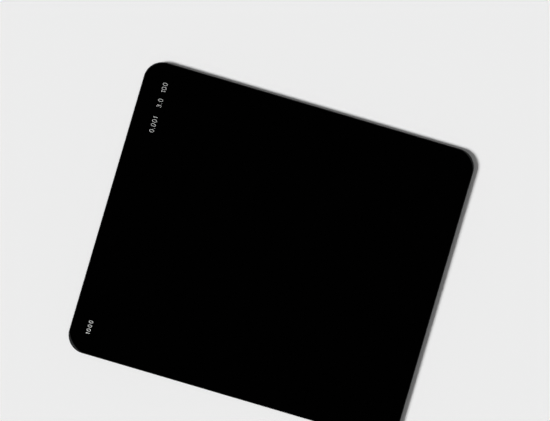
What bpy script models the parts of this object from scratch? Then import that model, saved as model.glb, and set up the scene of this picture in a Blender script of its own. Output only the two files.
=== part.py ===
"""Frameless slot-in neutral density filter: one flat plate of dark glass.

The plate lies on its back. +X runs across the holder's slot and +Y along it, towards
the edge that stays in the fingers when the plate is pushed in. The origin is the
middle of the back face.
"""

import math

import bmesh
import bpy

# Driving sizes, in metres
SLOT_WIDTH = 0.100
PLATE_LENGTH = 0.1134
GLASS_THICKNESS = 0.002
CORNER_RADIUS = 0.00625
ARRIS_WIDTH = 0.0002

# How finely the round corners are cut
CORNER_FACETS = 24
SMOOTH_UP_TO = math.radians(20)

# How flush a vertex must be to count as lying on a face of the plate
FLUSH = 1e-6

GLASS_COLOUR = (0.004, 0.004, 0.0045, 1.0)
GLASS_ROUGHNESS = 0.05
GLASS_REFRACTION = 1.52

COLLECTION_NAME = "square_nd_filter"


def clear_scene():
    for scene_object in list(bpy.data.objects):
        bpy.data.objects.remove(scene_object, do_unlink=True)


def dark_glass():
    material = bpy.data.materials.new("dark_glass")
    material.use_nodes = True
    shader = material.node_tree.nodes["Principled BSDF"]
    shader.inputs["Base Color"].default_value = GLASS_COLOUR
    shader.inputs["Roughness"].default_value = GLASS_ROUGHNESS
    shader.inputs["IOR"].default_value = GLASS_REFRACTION
    shader.inputs["Metallic"].default_value = 0.0
    return material


def cut_blank(plate):
    """A square-cornered blank of the full size, standing on the back face's plane."""
    bmesh.ops.create_cube(plate, size=1.0)
    bmesh.ops.scale(plate, vec=(SLOT_WIDTH, PLATE_LENGTH, GLASS_THICKNESS), verts=plate.verts)
    bmesh.ops.translate(plate, vec=(0.0, 0.0, GLASS_THICKNESS / 2), verts=plate.verts)


def upright_edges(plate):
    """The four edges where the walls meet."""
    return [edge for edge in plate.edges if abs(edge.verts[0].co.z - edge.verts[1].co.z) > FLUSH]


def rim_edges(plate):
    """Every edge between a wall and the front or the back face."""
    return [edge for edge in plate.edges if abs(edge.verts[0].co.z - edge.verts[1].co.z) < FLUSH]


def round_corners(plate):
    bmesh.ops.bevel(
        plate,
        geom=upright_edges(plate),
        affect="EDGES",
        offset_type="OFFSET",
        offset=CORNER_RADIUS,
        segments=CORNER_FACETS,
        profile=0.5,
        clamp_overlap=True,
    )


def grind_arrises(plate):
    """The narrow 45 degree flat that is ground on the rim of both faces."""
    bmesh.ops.bevel(
        plate,
        geom=rim_edges(plate),
        affect="EDGES",
        offset_type="OFFSET",
        offset=ARRIS_WIDTH,
        segments=1,
        profile=0.5,
        clamp_overlap=True,
    )


def filter_plate():
    plate = bmesh.new()
    cut_blank(plate)
    round_corners(plate)
    grind_arrises(plate)
    mesh = bpy.data.meshes.new("filter_plate")
    plate.to_mesh(mesh)
    plate.free()
    mesh.materials.append(dark_glass())
    mesh.shade_smooth()
    mesh.set_sharp_from_angle(angle=SMOOTH_UP_TO)
    return bpy.data.objects.new("filter_plate", mesh)


def main():
    clear_scene()
    collection = bpy.data.collections.new(COLLECTION_NAME)
    bpy.context.scene.collection.children.link(collection)
    collection.objects.link(filter_plate())


main()
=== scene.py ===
"""Dresses the slot-in neutral density filter: coated glass, a ground edge and printed figures.

The plate lies on a plain pale floor and is seen from straight above. Lengths are in metres.
"""

import math

import bpy
from bpy.props import FloatProperty, FloatVectorProperty, IntProperty, PointerProperty
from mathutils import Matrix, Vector


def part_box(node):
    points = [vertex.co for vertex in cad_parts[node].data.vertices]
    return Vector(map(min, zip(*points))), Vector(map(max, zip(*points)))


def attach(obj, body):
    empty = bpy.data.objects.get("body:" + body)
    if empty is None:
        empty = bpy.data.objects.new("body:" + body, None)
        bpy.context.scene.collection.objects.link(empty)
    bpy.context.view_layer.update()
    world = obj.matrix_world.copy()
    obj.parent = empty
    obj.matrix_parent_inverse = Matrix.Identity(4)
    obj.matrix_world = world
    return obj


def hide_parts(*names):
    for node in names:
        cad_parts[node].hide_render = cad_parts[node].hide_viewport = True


bl_info = {
    "name": "Square Glass Filter",
    "version": (1, 0, 0),
    "blender": (4, 5, 0),
    "location": "3D View > Sidebar > Glass Filter",
    "description": "Makes a frameless glass camera filter with a ground edge and printed figures",
    "category": "Object",
}

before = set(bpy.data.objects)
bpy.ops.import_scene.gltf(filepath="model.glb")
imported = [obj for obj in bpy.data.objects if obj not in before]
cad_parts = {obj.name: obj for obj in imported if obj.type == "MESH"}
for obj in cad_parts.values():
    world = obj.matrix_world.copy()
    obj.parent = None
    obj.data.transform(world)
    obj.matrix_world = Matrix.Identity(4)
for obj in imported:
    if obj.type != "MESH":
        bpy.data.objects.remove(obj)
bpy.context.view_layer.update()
PLATE_LOW, PLATE_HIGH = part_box("filter_plate")
BODY = "root"

# The photograph's frame, and where the plate lies in it
PHOTO_WIDTH_PX = 550
PHOTO_HEIGHT_PX = 421
SLOT_WIDTH_PX = 302.65
PLATE_CENTRE_PX = (271.21, 251.09)
PLATE_TURN = math.radians(16.38)

# The printed figures: piece name, figures, and their middle from the plate's left side
FINE_FIGURES = (
    ("figures_transmission", "0.001", 0.07914),
    ("figures_density", "3.0", 0.08648),
    ("figures_slot_width", "100", 0.09185),
)
BOLD_FIGURES = (("figures_factor", "1000", 0.00891),)

# Shares of a figure's height
DIGIT_WIDTH = 0.60
ONE_WIDTH = 0.26
FLAG_DROP = 0.25
UPPER_BOWL_HEIGHT = 0.46

# Shares of a figure's width
UPPER_BOWL_REACH = 0.46
BAR_START = 0.36

# How far the bowls of a three turn, in degrees from straight right, before they stop
BOWL_MOUTH = 155.0

# The decimal point's size, as a share of its line's width, and how much less far its outer
# strokes reach at each end, as a share of its size
POINT_WIDTH = 1.8
POINT_ROUNDING = 0.15

# How finely the figures are drawn
BOWL_STEPS = 40
END_STEPS = 5
# The points of a stroke's two round ends stop short of its middle
JUST_UNDER_HALF = 0.499

FLOAT = "NodeSocketFloat"
INTEGER = "NodeSocketInt"
VECTOR = "NodeSocketVector"
GEOMETRY = "NodeSocketGeometry"
MATERIAL = "NodeSocketMaterial"

# A face counts as one of the plate's two flats when its normal's Z, up or down, is over this
FLAT = 0.9999
# The strip of the flat face that belongs to the swept edge
FACE_MARGIN = 0.0002
# Points closer together than this are merged
WELD = 1e-7
# The floor lies this far under the plate, so that their faces don't fight
FLOOR_GAP = 0.00002

# The rounding of the ink's section, as a share of its height, and its facets
INK_ROUNDING = 0.8
INK_ROUNDING_STEPS = 2
# Edges of the ink that turn by more than this stay sharp
INK_SHARP_FROM = math.radians(40)

GLASS_REFRACTION = 1.52
# The part of a noise's range that holds most of its values
NOISE_MIDDLE = (0.3, 0.7)
# How much of the ground edge's pattern is grain, where the rest is the wheel's lines
GRAIN_SHARE = 0.4

# Between these heights, the Z of the direction looked in, the room grows dimmer
ABOVE_HORIZON = (0.06, 0.22)
OVERHEAD = (0.78, 0.96)


# Settings that a user would change


class PlateSettings(bpy.types.PropertyGroup):
    """Sizes and colours of the glass plate"""

    slot_width: FloatProperty(
        name="Slot Width",
        description="Size across the holder's slot",
        default=PLATE_HIGH.x - PLATE_LOW.x,
        min=0.02,
        precision=4,
        unit="LENGTH",
    )
    plate_length: FloatProperty(
        name="Plate Length",
        description="Size along the holder's slot",
        default=PLATE_HIGH.y - PLATE_LOW.y,
        min=0.02,
        precision=4,
        unit="LENGTH",
    )
    thickness: FloatProperty(
        name="Thickness",
        description="Thickness of the glass",
        default=PLATE_HIGH.z - PLATE_LOW.z,
        min=0.0005,
        precision=4,
        unit="LENGTH",
    )
    corner_radius: FloatProperty(
        name="Corner Radius",
        description="Rounding of the four corners",
        default=0.00625,
        min=0.001,
        precision=5,
        unit="LENGTH",
    )
    corner_steps: IntProperty(
        name="Corner Steps",
        description="Facets in each round corner",
        default=48,
        min=4,
    )
    arris_width: FloatProperty(
        name="Arris Width",
        description="Width of the narrow flat ground on the rim of each face",
        default=0.0002,
        min=0.00001,
        precision=5,
        unit="LENGTH",
    )
    corner_grind: FloatVectorProperty(
        name="Corner Grind",
        description="How much wider the arris is in the middle of each corner, printed side first",
        size=4,
        default=(3.0, 0.7, 1.5, 1.8),
        min=0.0,
        max=5.0,
    )
    softening: FloatProperty(
        name="Softening",
        description="Rounding left on the arris by its polishing",
        default=0.00003,
        min=0.000001,
        precision=6,
        unit="LENGTH",
    )
    softening_steps: IntProperty(
        name="Softening Steps",
        description="Facets in each softened edge",
        default=3,
        min=1,
    )
    glass_colour: FloatVectorProperty(
        name="Glass Colour",
        description="Colour of the dark glass under its coating",
        subtype="COLOR",
        size=4,
        default=(0.00012, 0.00012, 0.00012, 1.0),
        min=0.0,
        max=1.0,
    )
    ground_colour: FloatVectorProperty(
        name="Ground Colour",
        description="Colour of the ground edge",
        subtype="COLOR",
        size=4,
        default=(0.0145, 0.0145, 0.0149, 1.0),
        min=0.0,
        max=1.0,
    )


class FigureSettings(bpy.types.PropertyGroup):
    """Sizes and colour of the printed figures"""

    fine_height: FloatProperty(
        name="Fine Height",
        description="Height of the fine figures",
        default=0.00154,
        min=0.0005,
        precision=5,
        unit="LENGTH",
    )
    fine_line: FloatProperty(
        name="Fine Line",
        description="Width of the fine figures' lines",
        default=0.000085,
        min=0.00002,
        precision=6,
        unit="LENGTH",
    )
    fine_gap: FloatProperty(
        name="Fine Gap",
        description="Gap between the fine figures",
        default=0.00046,
        min=0.00005,
        precision=5,
        unit="LENGTH",
    )
    fine_inset: FloatProperty(
        name="Fine Inset",
        description="From the plate's printed side to the middle of the fine figures",
        default=0.00760,
        min=0.001,
        precision=5,
        unit="LENGTH",
    )
    bold_height: FloatProperty(
        name="Bold Height",
        description="Height of the bold figures",
        default=0.00142,
        min=0.0005,
        precision=5,
        unit="LENGTH",
    )
    bold_line: FloatProperty(
        name="Bold Line",
        description="Width of the bold figures' lines",
        default=0.000115,
        min=0.00002,
        precision=6,
        unit="LENGTH",
    )
    bold_gap: FloatProperty(
        name="Bold Gap",
        description="Gap between the bold figures",
        default=0.00053,
        min=0.00005,
        precision=5,
        unit="LENGTH",
    )
    bold_inset: FloatProperty(
        name="Bold Inset",
        description="From the plate's printed side to the middle of the bold figures",
        default=0.00622,
        min=0.001,
        precision=5,
        unit="LENGTH",
    )
    ink_height: FloatProperty(
        name="Ink Height",
        description="How far the ink stands proud of the glass",
        default=0.000015,
        min=0.000001,
        precision=6,
        unit="LENGTH",
    )
    ink_colour: FloatVectorProperty(
        name="Ink Colour",
        description="Colour of the printed figures",
        subtype="COLOR",
        size=4,
        default=(0.92, 0.92, 0.91, 1.0),
        min=0.0,
        max=1.0,
    )


class StageSettings(bpy.types.PropertyGroup):
    """The floor, the room, the lamps and the camera"""

    floor_colour: FloatVectorProperty(
        name="Floor Colour",
        description="Colour of the floor and of what stands beyond it",
        subtype="COLOR",
        size=4,
        default=(0.8388, 0.8388, 0.8388, 1.0),
        min=0.0,
        max=1.0,
    )
    floor_reach: FloatProperty(
        name="Floor Reach",
        description="Length of the floor's sides",
        default=6.0,
        min=1.0,
        unit="LENGTH",
    )
    walls: FloatProperty(
        name="Walls",
        description="Brightness of the room above the horizon, as a share of the horizon's",
        default=0.10,
        min=0.0,
        max=1.0,
        subtype="FACTOR",
    )
    ceiling: FloatProperty(
        name="Ceiling",
        description="Brightness of the room straight above, as a share of the walls'",
        default=0.30,
        min=0.0,
        max=1.0,
        subtype="FACTOR",
    )
    key_strength: FloatProperty(
        name="Key Strength",
        description="Strength of the key light",
        default=3.837,
        min=0.0,
    )
    key_width: FloatProperty(
        name="Key Width",
        description="Angle that the key light fills, seen from the plate",
        default=math.radians(18.0),
        subtype="ANGLE",
    )
    key_height: FloatProperty(
        name="Key Height",
        description="Angle of the key light above the floor",
        default=math.radians(41.9),
        subtype="ANGLE",
    )
    key_bearing: FloatProperty(
        name="Key Bearing",
        description="Turn of the key light from the plate's printed side towards its left side",
        default=math.radians(29.0),
        subtype="ANGLE",
    )
    fill_strength: FloatProperty(
        name="Fill Strength",
        description="Strength of the fill light straight above the plate",
        default=0.324,
        min=0.0,
    )
    fill_width: FloatProperty(
        name="Fill Width",
        description="Angle that the fill light fills, seen from the plate",
        default=math.radians(50.0),
        subtype="ANGLE",
    )
    lens: FloatProperty(
        name="Lens",
        description="Focal length of the camera",
        default=100.0,
        min=10.0,
        unit="CAMERA",
    )


# Building node trees


def wire(tree, value, socket):
    """Links a socket to another, or gives it a plain value."""
    if isinstance(value, bpy.types.NodeSocket):
        tree.links.new(value, socket)
    else:
        socket.default_value = value


def add(tree, kind, inputs=None, **settings):
    """A new node, with its settings and what its inputs take."""
    node = tree.nodes.new(kind)
    for name, value in settings.items():
        setattr(node, name, value)
    for name, value in (inputs or {}).items():
        wire(tree, value, node.inputs[name])
    return node


def calculate(tree, operation, *values):
    """The result of a sum on numbers."""
    node = add(tree, "ShaderNodeMath", operation=operation)
    for value, socket in zip(values, node.inputs):
        wire(tree, value, socket)
    return node.outputs["Value"]


def calculate_vector(tree, operation, *values):
    """The result of a sum on vectors."""
    node = add(tree, "ShaderNodeVectorMath", operation=operation)
    for value, socket in zip(values, node.inputs):
        wire(tree, value, socket)
    return node.outputs["Vector"]


def scale_vector(tree, vector, factor):
    """A vector made longer or shorter."""
    node = add(tree, "ShaderNodeVectorMath", {"Vector": vector, "Scale": factor}, operation="SCALE")
    return node.outputs["Vector"]


def combine(tree, x, y, z):
    """A vector from its three parts."""
    return add(tree, "ShaderNodeCombineXYZ", {"X": x, "Y": y, "Z": z}).outputs["Vector"]


def either(tree, question, no, yes):
    """One number or another, as a socket's answer says."""
    inputs = {"Switch": question, "False": no, "True": yes}
    return add(tree, "GeometryNodeSwitch", inputs, input_type="FLOAT").outputs["Output"]


def new_tree(name, inputs, outputs):
    """An empty geometry tree with its sockets, and what it is given and gives back."""
    tree = bpy.data.node_groups.new(name, "GeometryNodeTree")
    for label, kind in inputs:
        tree.interface.new_socket(label, in_out="INPUT", socket_type=kind)
    for label, kind in outputs:
        tree.interface.new_socket(label, in_out="OUTPUT", socket_type=kind)
    return tree, tree.nodes.new("NodeGroupInput").outputs, tree.nodes.new("NodeGroupOutput").inputs


def set_inputs(modifier, values):
    """Sets a geometry modifier's inputs, which it knows by identifier, from their names."""
    for item in modifier.node_group.interface.items_tree:
        if item.item_type == "SOCKET" and item.in_out == "INPUT" and item.name in values:
            modifier[item.identifier] = values[item.name]


def grow(name, source, tree, values):
    """A plain mesh object made from what a tree grows on the source's data."""
    seed = bpy.data.objects.new(name + "_seed", source)
    bpy.context.scene.collection.objects.link(seed)
    modifier = seed.modifiers.new(tree.name, "NODES")
    modifier.node_group = tree
    set_inputs(modifier, values)
    grown = seed.evaluated_get(bpy.context.evaluated_depsgraph_get())
    mesh = bpy.data.meshes.new_from_object(grown)
    mesh.name = name
    bpy.data.objects.remove(seed)
    for slot in reversed(range(len(mesh.materials))):
        if mesh.materials[slot] is None:
            mesh.materials.pop(index=slot)
    piece = bpy.data.objects.new(name, mesh)
    bpy.context.scene.collection.objects.link(piece)
    return piece


# Steps of a geometry tree


def rectangle(tree, width, height):
    """A closed curve with four straight sides."""
    inputs = {"Width": width, "Height": height}
    return add(tree, "GeometryNodeCurvePrimitiveQuadrilateral", inputs).outputs["Curve"]


def round_off(tree, curve, steps, radius, limited=False):
    """A curve with its corners rounded in facets. If limited, no corner outgrows its sides."""
    inputs = {"Curve": curve, "Count": steps, "Radius": radius, "Limit Radius": limited}
    return add(tree, "GeometryNodeFilletCurve", inputs, mode="POLY").outputs["Curve"]


def sweep(tree, path, section, scale=1.0):
    """A section swept along a path."""
    inputs = {"Curve": path, "Profile Curve": section, "Scale": scale}
    return add(tree, "GeometryNodeCurveToMesh", inputs).outputs["Mesh"]


def put(tree, geometry, place):
    """Geometry with each point at its place."""
    inputs = {"Geometry": geometry, "Position": place}
    return add(tree, "GeometryNodeSetPosition", inputs).outputs["Geometry"]


def lift(tree, geometry, height):
    """Geometry moved up."""
    inputs = {"Geometry": geometry, "Translation": combine(tree, 0.0, 0.0, height)}
    return add(tree, "GeometryNodeTransform", inputs).outputs["Geometry"]


def flip(tree, mesh):
    """A mesh whose faces look the other way."""
    return add(tree, "GeometryNodeFlipFaces", {"Mesh": mesh}).outputs["Mesh"]


def weld(tree, geometry):
    """Geometry whose points are merged where they touch."""
    inputs = {"Geometry": geometry, "Distance": WELD}
    return add(tree, "GeometryNodeMergeByDistance", inputs).outputs["Geometry"]


def realize(tree, geometry):
    """Geometry of its own, without instances."""
    return add(tree, "GeometryNodeRealizeInstances", {"Geometry": geometry}).outputs["Geometry"]


def give_finish(tree, geometry, material, selection=True):
    """Geometry with a material on its selected faces."""
    inputs = {"Geometry": geometry, "Selection": selection, "Material": material}
    return add(tree, "GeometryNodeSetMaterial", inputs).outputs["Geometry"]


def capture_position(tree, geometry):
    """Notes each point's position, and returns the geometry and the noted position."""
    position = add(tree, "GeometryNodeInputPosition").outputs["Position"]
    node = add(tree, "GeometryNodeCaptureAttribute", {"Geometry": geometry})
    node.capture_items.new("VECTOR", "Place")
    wire(tree, position, node.inputs["Place"])
    return node.outputs["Geometry"], node.outputs["Place"]


# The plate


CORNER_GRINDS = ("Printed Left Grind", "Printed Right Grind", "Far Left Grind", "Far Right Grind")
PLATE_SIZES = (
    ("Slot Width", FLOAT),
    ("Plate Length", FLOAT),
    ("Corner Radius", FLOAT),
    *((corner, FLOAT) for corner in CORNER_GRINDS),
)


def corner_widening(tree, given, way):
    """The arris's width at a point with this way out, as a multiple of that along the sides.

    Hand grinding takes more off the round corners, most in the middle of each, and not the same
    off all four. There the way out's X times its Y is 0.5 or -0.5. Along the sides it is 0.
    """
    share = add(tree, "ShaderNodeSeparateXYZ", {"Vector": way})
    right = calculate(tree, "GREATER_THAN", share.outputs["X"], 0.0)
    printed = calculate(tree, "GREATER_THAN", share.outputs["Y"], 0.0)
    printed_left, printed_right, far_left, far_right = (given[name] for name in CORNER_GRINDS)
    grind = either(
        tree,
        printed,
        either(tree, right, far_left, far_right),
        either(tree, right, printed_left, printed_right),
    )
    slant = calculate(tree, "MULTIPLY", share.outputs["X"], share.outputs["Y"])
    rounding = calculate(tree, "MULTIPLY", calculate(tree, "ABSOLUTE", slant), 2.0)
    return calculate(tree, "MULTIPLY_ADD", rounding, grind, 1.0)


def rim_place_tree():
    """Where a point of the edge's section lies, at one point of the plate's outline.

    The section's X is how far it lies in from the outline, and its Y how high it lies. The
    corners' centres span an inner rectangle, and the way out is the way from its nearest point.
    """
    tree, given, result = new_tree(
        "rim_place",
        (("Outline Point", VECTOR), ("Section Point", VECTOR), *PLATE_SIZES),
        (("Place", VECTOR),),
    )
    radius = given["Corner Radius"]
    half_width = calculate(tree, "MULTIPLY", given["Slot Width"], 0.5)
    half_length = calculate(tree, "MULTIPLY", given["Plate Length"], 0.5)
    inner = combine(
        tree,
        calculate(tree, "SUBTRACT", half_width, radius),
        calculate(tree, "SUBTRACT", half_length, radius),
        0.0,
    )
    capped = calculate_vector(tree, "MINIMUM", given["Outline Point"], inner)
    nearest = calculate_vector(tree, "MAXIMUM", capped, scale_vector(tree, inner, -1.0))
    outward = calculate_vector(tree, "SUBTRACT", given["Outline Point"], nearest)
    section = add(tree, "ShaderNodeSeparateXYZ", {"Vector": given["Section Point"]})
    way = calculate_vector(tree, "DIVIDE", outward, combine(tree, radius, radius, radius))
    widening = corner_widening(tree, given, way)
    inset = calculate(tree, "MULTIPLY", section.outputs["X"], widening)
    reach = calculate(tree, "DIVIDE", calculate(tree, "SUBTRACT", radius, inset), radius)
    level = calculate_vector(tree, "ADD", nearest, scale_vector(tree, outward, reach))
    height = combine(tree, 0.0, 0.0, section.outputs["Y"])
    wire(tree, calculate_vector(tree, "ADD", level, height), result["Place"])
    return tree


def edge_section(tree, given, depth):
    """The section of the ground edge, from the back face round to the front face."""
    thickness = given["Thickness"]
    arris = given["Arris Width"]
    below_front = calculate(tree, "SUBTRACT", thickness, arris)
    turns = (
        (depth, 0.0),
        (arris, 0.0),
        (0.0, arris),
        (0.0, below_front),
        (arris, thickness),
        (depth, thickness),
    )
    line = add(tree, "GeometryNodeMeshLine", {"Count": len(turns)})
    path = add(tree, "GeometryNodeMeshToCurve", {"Mesh": line.outputs["Mesh"]})
    choose = add(tree, "GeometryNodeIndexSwitch", data_type="VECTOR")
    while len(choose.index_switch_items) < len(turns):
        choose.index_switch_items.new()
    wire(tree, add(tree, "GeometryNodeInputIndex").outputs["Index"], choose.inputs["Index"])
    for number, (inset, height) in enumerate(turns):
        wire(tree, combine(tree, inset, height, 0.0), choose.inputs[str(number)])
    section = put(tree, path.outputs["Curve"], choose.outputs["Output"])
    return round_off(tree, section, given["Softening Steps"], given["Softening"], limited=True)


def swept_edge(tree, given, outline, depth, place):
    """The ground edge, swept round the outline."""
    path, outline_point = capture_position(tree, outline)
    section, section_point = capture_position(tree, edge_section(tree, given, depth))
    return put(tree, flip(tree, sweep(tree, path, section)), place(outline_point, section_point))


def flat_faces(tree, given, outline, depth, place):
    """The front and the back face, which fill the outline up to the swept edge."""
    here = add(tree, "GeometryNodeInputPosition").outputs["Position"]
    inner = put(tree, outline, place(here, combine(tree, depth, 0.0, 0.0)))
    face = add(tree, "GeometryNodeFillCurve", {"Curve": inner}, mode="NGONS").outputs["Mesh"]
    return lift(tree, face, given["Thickness"]), flip(tree, face)


def finished_plate(tree, given, solid):
    """The plate with coated faces, and with its edge ground and shaded smooth."""
    normal = add(tree, "GeometryNodeInputNormal").outputs["True Normal"]
    upward = add(tree, "ShaderNodeSeparateXYZ", {"Vector": normal}).outputs["Z"]
    flat = calculate(tree, "GREATER_THAN", calculate(tree, "ABSOLUTE", upward), FLAT)
    curved = calculate(tree, "SUBTRACT", 1.0, flat)
    shaded = add(
        tree,
        "GeometryNodeSetShadeSmooth",
        {"Geometry": solid, "Shade Smooth": curved},
    )
    plate = realize(tree, shaded.outputs["Geometry"])
    ground = give_finish(tree, plate, given["Ground Edge"])
    return give_finish(tree, ground, given["Face"], selection=flat)


def ground_plate_tree():
    """A plate with round corners, flat faces and a ground edge that follows its outline."""
    tree, given, result = new_tree(
        "ground_plate",
        (
            *PLATE_SIZES,
            ("Thickness", FLOAT),
            ("Corner Steps", INTEGER),
            ("Arris Width", FLOAT),
            ("Softening", FLOAT),
            ("Softening Steps", INTEGER),
            ("Face", MATERIAL),
            ("Ground Edge", MATERIAL),
        ),
        (("Geometry", GEOMETRY),),
    )
    sizes = {label: given[label] for label, _ in PLATE_SIZES}
    place_tree = rim_place_tree()

    def place(outline_point, section_point):
        """The place on the rim of a point of the section, at a point of the outline."""
        points = {"Outline Point": outline_point, "Section Point": section_point}
        inputs = points | sizes
        return add(tree, "GeometryNodeGroup", inputs, node_tree=place_tree).outputs["Place"]

    square = rectangle(tree, given["Slot Width"], given["Plate Length"])
    outline = round_off(tree, square, given["Corner Steps"], given["Corner Radius"])
    depth = calculate(tree, "ADD", given["Arris Width"], FACE_MARGIN)
    edge = swept_edge(tree, given, outline, depth, place)
    faces = flat_faces(tree, given, outline, depth, place)

    joined = add(tree, "GeometryNodeJoinGeometry")
    for part in (edge, *faces):
        tree.links.new(part, joined.inputs["Geometry"])
    solid = weld(tree, joined.outputs["Geometry"])
    wire(tree, finished_plate(tree, given, solid), result["Geometry"])
    return tree


# The printed figures


def ellipse(centre, radii, start, end, steps):
    """Points on an ellipse from one angle to another, in degrees, both included."""
    angles = [math.radians(start + (end - start) * step / steps) for step in range(steps + 1)]
    return [
        (centre[0] + radii[0] * math.cos(angle), centre[1] + radii[1] * math.sin(angle))
        for angle in angles
    ]


def zero(width, height, line):
    """One closed ring."""
    radii = ((width - line) / 2, (height - line) / 2)
    ring = ellipse((width / 2, height / 2), radii, 0, 360, BOWL_STEPS)
    return [(ring[:-1], True)]


def one(width, height, line):
    """A stem, with a flag that slopes down from its top."""
    stem = width - line / 2
    top = height - line / 2
    return [
        ([(stem, 0.0), (stem, height)], False),
        ([(line / 2, top - height * FLAG_DROP), (stem, top)], False),
    ]


def three(width, height, line):
    """Two open bowls that meet in a short bar, the lower one the larger."""
    upper = (height * UPPER_BOWL_HEIGHT - line / 2) / 2
    lower = (height - line) / 2 - upper
    middle = width / 2
    upper_radii = (width * UPPER_BOWL_REACH - line / 2, upper)
    lower_radii = ((width - line) / 2, lower)
    upper_centre = (middle, height - line / 2 - upper)
    lower_centre = (middle, line / 2 + lower)
    top = ellipse(upper_centre, upper_radii, BOWL_MOUTH, -90, BOWL_STEPS)
    bottom = ellipse(lower_centre, lower_radii, 90, -BOWL_MOUTH, BOWL_STEPS)
    bar = (width * BAR_START, height - line / 2 - 2 * upper)
    return [(top + [bar], False), (bottom, False)]


def point(width, height, line):
    """A round dot on the baseline, of three strokes side by side, the outer two shorter."""
    short = width * POINT_ROUNDING
    upright = ((line / 2, short), (width / 2, 0.0), (width - line / 2, short))
    return [([(x, low), (x, width - low)], False) for x, low in upright]


FIGURES = {"0": zero, "1": one, "3": three, ".": point}


def figure_width(sign, height, line):
    """How wide a figure is."""
    if sign == ".":
        return line * POINT_WIDTH
    return height * (ONE_WIDTH if sign == "1" else DIGIT_WIDTH)


def with_round_ends(path, line):
    """Adds the points on a stroke's first and last stretch that its round ends need."""
    turns = [math.pi / 2 * step / END_STEPS for step in range(1, END_STEPS + 1)]
    steps = [line / 2 * (1 - math.cos(turn)) for turn in turns]

    def along(start, towards):
        """The points that follow one end, on the way to its neighbour."""
        stretch = Vector(towards) - Vector(start)
        before_middle = [step for step in steps if step < stretch.length * JUST_UNDER_HALF]
        return [Vector(start) + stretch.normalized() * step for step in before_middle]

    head = along(path[0], path[1])
    tail = along(path[-1], path[-2])
    return [path[0], *head, *path[1:-1], *reversed(tail), path[-1]]


def strokes(signs, height, line, gap):
    """The centre lines of a row of figures, from X 0 along the baseline, and the row's length."""
    lines = []
    along = 0.0
    for sign in signs:
        width = figure_width(sign, height, line)
        for path, closed in FIGURES[sign](width, height, line):
            if not closed:
                path = with_round_ends(path, line)
            lines.append(([(x + along, y) for x, y in path], closed))
        along += width + gap
    return lines, along - gap


def stroke_curve(name, lines, origin):
    """A curve with one straight-sided spline for each centre line."""
    curve = bpy.data.curves.new(name, "CURVE")
    curve.dimensions = "3D"
    for path, closed in lines:
        spline = curve.splines.new("POLY")
        spline.points.add(len(path) - 1)
        for place, (x, y) in zip(spline.points, path):
            place.co = (origin.x + x, origin.y + y, 0.0, 1.0)
        spline.use_cyclic_u = closed
    return curve


def ink_section(tree, given):
    """The section of the ink, whose lower half lies in the glass."""
    height = calculate(tree, "MULTIPLY", given["Ink Height"], 2.0)
    rounding = calculate(tree, "MULTIPLY", given["Ink Height"], INK_ROUNDING)
    section = rectangle(tree, given["Line Width"], height)
    return round_off(tree, section, INK_ROUNDING_STEPS, rounding)


def round_ends(tree, line_width):
    """How wide a stroke is at each of its points, as a share of its line width.

    An open stroke narrows to a half circle at each end. A ring keeps its width.
    """
    half_line = calculate(tree, "MULTIPLY", line_width, 0.5)
    from_start = add(tree, "GeometryNodeSplineParameter").outputs["Length"]
    whole = add(tree, "GeometryNodeSplineLength").outputs["Length"]
    from_end = calculate(tree, "SUBTRACT", whole, from_start)
    nearer = calculate(tree, "MINIMUM", from_start, from_end)
    run_in = calculate(tree, "MINIMUM", calculate(tree, "DIVIDE", nearer, half_line), 1.0)
    missing = calculate(tree, "SUBTRACT", 1.0, run_in)
    squared = calculate(tree, "MULTIPLY", missing, missing)
    chord = calculate(tree, "SQRT", calculate(tree, "SUBTRACT", 1.0, squared))
    ring = add(tree, "GeometryNodeInputSplineCyclic").outputs["Cyclic"]
    return either(tree, ring, chord, 1.0)


def ink_tree():
    """Sweeps a thin film of ink along centre lines, with round ends, and melts it together."""
    tree, given, result = new_tree(
        "ink_strokes",
        (
            ("Geometry", GEOMETRY),
            ("Line Width", FLOAT),
            ("Ink Height", FLOAT),
            ("Face Height", FLOAT),
            ("Ink", MATERIAL),
        ),
        (("Geometry", GEOMETRY),),
    )
    level = add(tree, "GeometryNodeSetCurveNormal", {"Curve": given["Geometry"]}, mode="Z_UP")
    width = round_ends(tree, given["Line Width"])
    swept = sweep(tree, level.outputs["Curve"], ink_section(tree, given), width)
    melted = add(
        tree,
        "GeometryNodeMeshBoolean",
        {"Mesh": weld(tree, swept), "Self Intersection": True},
        operation="UNION",
        solver="EXACT",
    )
    raised = lift(tree, melted.outputs["Mesh"], given["Face Height"])
    inked = give_finish(tree, realize(tree, raised), given["Ink"])
    wire(tree, inked, result["Geometry"])
    return tree


def print_figures(marks, height, line, gap, inset, tree, values):
    """Rows of figures in ink, each centred on its place along the printed side."""
    for name, signs, middle in marks:
        lines, length = strokes(signs, height, line, gap)
        left = PLATE_LOW.x + middle - length / 2
        baseline = PLATE_HIGH.y - inset - height / 2
        origin = Vector((left, baseline, 0.0))
        piece = grow(name, stroke_curve(name, lines, origin), tree, values | {"Line Width": line})
        piece.data.set_sharp_from_angle(angle=INK_SHARP_FROM)
        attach(piece, BODY)


# Finishes


def new_finish(name):
    """A material with its tree, its shader and its object coordinates."""
    material = bpy.data.materials.new(name)
    material.use_nodes = True
    tree = material.node_tree
    shader = tree.nodes["Principled BSDF"]
    place = add(tree, "ShaderNodeTexCoord").outputs["Object"]
    return material, tree, shader, place


def stretched(tree, place, scale, turn=0.0):
    """Object coordinates scaled along each axis and turned about Z."""
    node = add(
        tree,
        "ShaderNodeMapping",
        {"Vector": place, "Rotation": (0.0, 0.0, turn), "Scale": scale},
    )
    return node.outputs["Vector"]


def noise(tree, place, scale, detail):
    """A value that wanders over the surface, that many times a metre."""
    node = add(tree, "ShaderNodeTexNoise", {"Vector": place, "Scale": scale, "Detail": detail})
    return node.outputs["Fac"]


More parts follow.
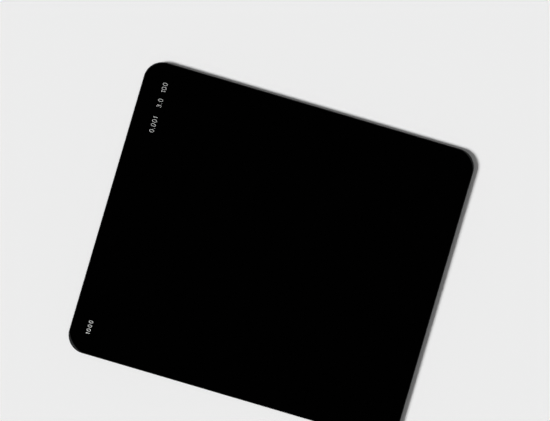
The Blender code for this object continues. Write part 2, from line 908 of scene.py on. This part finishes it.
def spread(tree, value, low, high):
    """Turns the middle of a noise's range into values between low and high."""
    start, end = NOISE_MIDDLE
    node = add(
        tree,
        "ShaderNodeMapRange",
        {"Value": value, "From Min": start, "From Max": end, "To Min": low, "To Max": high},
    )
    return node.outputs["Result"]


def tinted(tree, value, colour, low, high):
    """A colour made darker and lighter by a value, between two shares of itself."""
    share = spread(tree, value, low, high)
    return scale_vector(tree, tuple(colour[:3]), share)


def roughen(tree, shader, height, strength, distance):
    """Bumps a surface by a value between 0 and 1, which stands for a height of that distance."""
    inputs = {"Strength": strength, "Distance": distance, "Height": height}
    bump = add(tree, "ShaderNodeBump", inputs)
    wire(tree, bump.outputs["Normal"], shader.inputs["Normal"])


def coated_glass(colour):
    """Dark optical glass under a thin coating that mirrors little, with a fine uneven polish."""
    material, tree, shader, place = new_finish("coated_dark_glass")
    strokes_of_polish = stretched(tree, place, scale=(30.0, 260.0, 1.0), turn=math.radians(24))
    polish = noise(tree, strokes_of_polish, scale=1.0, detail=3.0)
    cloud = noise(tree, place, scale=55.0, detail=2.0)
    wire(tree, tinted(tree, cloud, colour, low=0.7, high=1.3), shader.inputs["Base Color"])
    wire(tree, spread(tree, polish, low=0.02, high=0.05), shader.inputs["Roughness"])
    shader.inputs["IOR"].default_value = GLASS_REFRACTION
    shader.inputs["Specular IOR Level"].default_value = 0.08
    return material


def ground_glass(colour):
    """The frosted edge that a fine wheel leaves, with its lines running round the plate."""
    material, tree, shader, place = new_finish("ground_glass_edge")
    along_edge = stretched(tree, place, scale=(160.0, 160.0, 4200.0))
    lines = noise(tree, along_edge, scale=1.0, detail=5.0)
    grain = noise(tree, place, scale=7000.0, detail=3.0)
    grain_share = calculate(tree, "MULTIPLY", grain, GRAIN_SHARE)
    worked = calculate(tree, "MULTIPLY_ADD", lines, 1.0 - GRAIN_SHARE, grain_share)
    wire(tree, tinted(tree, worked, colour, low=0.55, high=1.45), shader.inputs["Base Color"])
    wire(tree, spread(tree, worked, low=0.55, high=0.75), shader.inputs["Roughness"])
    roughen(tree, shader, worked, strength=0.8, distance=0.00004)
    shader.inputs["IOR"].default_value = GLASS_REFRACTION
    shader.inputs["Specular IOR Level"].default_value = 0.30
    return material


def white_ink(colour):
    """Matt screen-printed ink with a fine uneven surface."""
    material, tree, shader, place = new_finish("white_ink")
    grain = noise(tree, place, scale=14000.0, detail=3.0)
    wire(tree, tinted(tree, grain, colour, low=0.94, high=1.04), shader.inputs["Base Color"])
    wire(tree, spread(tree, grain, low=0.42, high=0.60), shader.inputs["Roughness"])
    roughen(tree, shader, grain, strength=0.3, distance=0.000004)
    return material


# The stage


def pale_floor(settings):
    """A plain matt floor, just under the plate's back face."""
    material = bpy.data.materials.new("pale_floor")
    material.use_nodes = True
    shader = material.node_tree.nodes["Principled BSDF"]
    shader.inputs["Base Color"].default_value = settings.floor_colour
    shader.inputs["Roughness"].default_value = 1.0
    shader.inputs["Specular IOR Level"].default_value = 0.0
    location = (0.0, 0.0, PLATE_LOW.z - FLOOR_GAP)
    bpy.ops.mesh.primitive_plane_add(size=settings.floor_reach, location=location)
    floor = bpy.context.object
    floor.name = "floor"
    floor.data.materials.append(material)


def fall(tree, value, band, end):
    """Goes smoothly from 1 to the end value while the value goes through the band."""
    low, high = band
    node = add(
        tree,
        "ShaderNodeMapRange",
        {"Value": value, "From Min": low, "From Max": high, "To Min": 1.0, "To Max": end},
        interpolation_type="SMOOTHSTEP",
    )
    return node.outputs["Result"]


def room(settings):
    """A pale room, dimmer above the horizon and dark overhead, where the camera is."""
    world = bpy.data.worlds.new("pale_room")
    world.use_nodes = True
    tree = world.node_tree
    direction = add(tree, "ShaderNodeTexCoord").outputs["Generated"]
    upward = add(tree, "ShaderNodeSeparateXYZ", {"Vector": direction}).outputs["Z"]
    walls = fall(tree, upward, ABOVE_HORIZON, settings.walls)
    ceiling = fall(tree, upward, OVERHEAD, settings.ceiling)
    background = tree.nodes["Background"]
    background.inputs["Color"].default_value = settings.floor_colour
    wire(tree, calculate(tree, "MULTIPLY", walls, ceiling), background.inputs["Strength"])
    bpy.context.scene.world = world


def soft_lamp(name, strength, width, towards):
    """A broad soft light, screened from the glass so that no angle shows its glare."""
    light = bpy.data.lights.new(name, "SUN")
    light.energy = strength
    light.angle = width
    lamp = bpy.data.objects.new(name, light)
    lamp.rotation_euler = towards.to_track_quat("Z", "Y").to_euler()
    lamp.location = towards
    lamp.visible_glossy = False
    bpy.context.scene.collection.objects.link(lamp)


def soft_lamps(settings):
    """The key light, which throws the plate's narrow shadow, and a weak fill from above."""
    level = math.cos(settings.key_height)
    towards_key = Vector(
        (
            -math.sin(settings.key_bearing) * level,
            math.cos(settings.key_bearing) * level,
            math.sin(settings.key_height),
        )
    )
    soft_lamp("key", settings.key_strength, settings.key_width, towards_key)
    soft_lamp("fill", settings.fill_strength, settings.fill_width, Vector((0.0, 0.0, 1.0)))


def photo_camera(settings):
    """Looks straight down, turned and placed so that the plate lies as in the photograph."""
    camera = bpy.data.cameras.new("photo_camera")
    camera.lens = settings.lens
    metres_per_px = (PLATE_HIGH.x - PLATE_LOW.x) / SLOT_WIDTH_PX
    half_view = PHOTO_WIDTH_PX * metres_per_px / 2
    distance = half_view / (camera.sensor_width / 2 / camera.lens)
    right = Vector((math.sin(PLATE_TURN), -math.cos(PLATE_TURN), 0.0))
    up = Vector((math.cos(PLATE_TURN), math.sin(PLATE_TURN), 0.0))
    across = (PHOTO_WIDTH_PX / 2 - PLATE_CENTRE_PX[0]) * metres_per_px
    upwards = (PLATE_CENTRE_PX[1] - PHOTO_HEIGHT_PX / 2) * metres_per_px
    eye = bpy.data.objects.new("photo_camera", camera)
    eye.location = right * across + up * upwards + Vector((0.0, 0.0, PLATE_HIGH.z + distance))
    eye.rotation_euler = (0.0, 0.0, PLATE_TURN - math.pi / 2)
    bpy.context.scene.collection.objects.link(eye)
    bpy.context.scene.camera = eye


# Operators, panel and registration


class SQUARE_FILTER_OT_plate(bpy.types.Operator):
    """Makes the glass plate with its coated faces and ground edge"""

    bl_idname = "square_filter.plate"
    bl_label = "Glass Plate"

    def execute(self, context):
        settings = context.scene.filter_plate
        values = {
            "Slot Width": settings.slot_width,
            "Plate Length": settings.plate_length,
            "Corner Radius": settings.corner_radius,
            **dict(zip(CORNER_GRINDS, settings.corner_grind)),
            "Thickness": settings.thickness,
            "Corner Steps": settings.corner_steps,
            "Arris Width": settings.arris_width,
            "Softening": settings.softening,
            "Softening Steps": settings.softening_steps,
            "Face": coated_glass(settings.glass_colour),
            "Ground Edge": ground_glass(settings.ground_colour),
        }
        piece = grow("glass_plate", bpy.data.meshes.new("plate_seed"), ground_plate_tree(), values)
        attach(piece, BODY)
        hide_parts("filter_plate")
        return {"FINISHED"}


class SQUARE_FILTER_OT_figures(bpy.types.Operator):
    """Prints the fine and the bold figures on the front face"""

    bl_idname = "square_filter.figures"
    bl_label = "Printed Figures"

    def execute(self, context):
        settings = context.scene.filter_figures
        tree = ink_tree()
        values = {
            "Ink Height": settings.ink_height,
            "Face Height": PLATE_HIGH.z,
            "Ink": white_ink(settings.ink_colour),
        }
        print_figures(
            FINE_FIGURES,
            settings.fine_height,
            settings.fine_line,
            settings.fine_gap,
            settings.fine_inset,
            tree,
            values,
        )
        print_figures(
            BOLD_FIGURES,
            settings.bold_height,
            settings.bold_line,
            settings.bold_gap,
            settings.bold_inset,
            tree,
            values,
        )
        return {"FINISHED"}


class SQUARE_FILTER_OT_stage(bpy.types.Operator):
    """Sets the floor, the room, the lamps and the camera"""

    bl_idname = "square_filter.stage"
    bl_label = "Stage"

    def execute(self, context):
        settings = context.scene.filter_stage
        pale_floor(settings)
        room(settings)
        soft_lamps(settings)
        photo_camera(settings)
        context.scene.view_settings.view_transform = "Standard"
        return {"FINISHED"}


class SQUARE_FILTER_PT_sidebar(bpy.types.Panel):
    """Lists the makers and their settings"""

    bl_label = "Glass Filter"
    bl_idname = "SQUARE_FILTER_PT_sidebar"
    bl_space_type = "VIEW_3D"
    bl_region_type = "UI"
    bl_category = "Glass Filter"

    def draw(self, context):
        scene = context.scene
        for settings, operator in (
            (scene.filter_plate, SQUARE_FILTER_OT_plate),
            (scene.filter_figures, SQUARE_FILTER_OT_figures),
            (scene.filter_stage, SQUARE_FILTER_OT_stage),
        ):
            box = self.layout.box()
            for name in settings.bl_rna.properties.keys():
                if name not in ("rna_type", "name"):
                    box.prop(settings, name)
            box.operator(operator.bl_idname)


SETTINGS = {
    "filter_plate": PlateSettings,
    "filter_figures": FigureSettings,
    "filter_stage": StageSettings,
}
CLASSES = (
    *SETTINGS.values(),
    SQUARE_FILTER_OT_plate,
    SQUARE_FILTER_OT_figures,
    SQUARE_FILTER_OT_stage,
    SQUARE_FILTER_PT_sidebar,
)


def register():
    """Makes the operators, the panel and the settings known."""
    for kind in CLASSES:
        bpy.utils.register_class(kind)
    for name, kind in SETTINGS.items():
        setattr(bpy.types.Scene, name, PointerProperty(type=kind))


def unregister():
    """Takes them away again."""
    for name in SETTINGS:
        delattr(bpy.types.Scene, name)
    for kind in reversed(CLASSES):
        bpy.utils.unregister_class(kind)


def main():
    """Makes every piece and the stage."""
    register()
    bpy.ops.square_filter.plate()
    bpy.ops.square_filter.figures()
    bpy.ops.square_filter.stage()


if __name__ == "__main__":
    main()
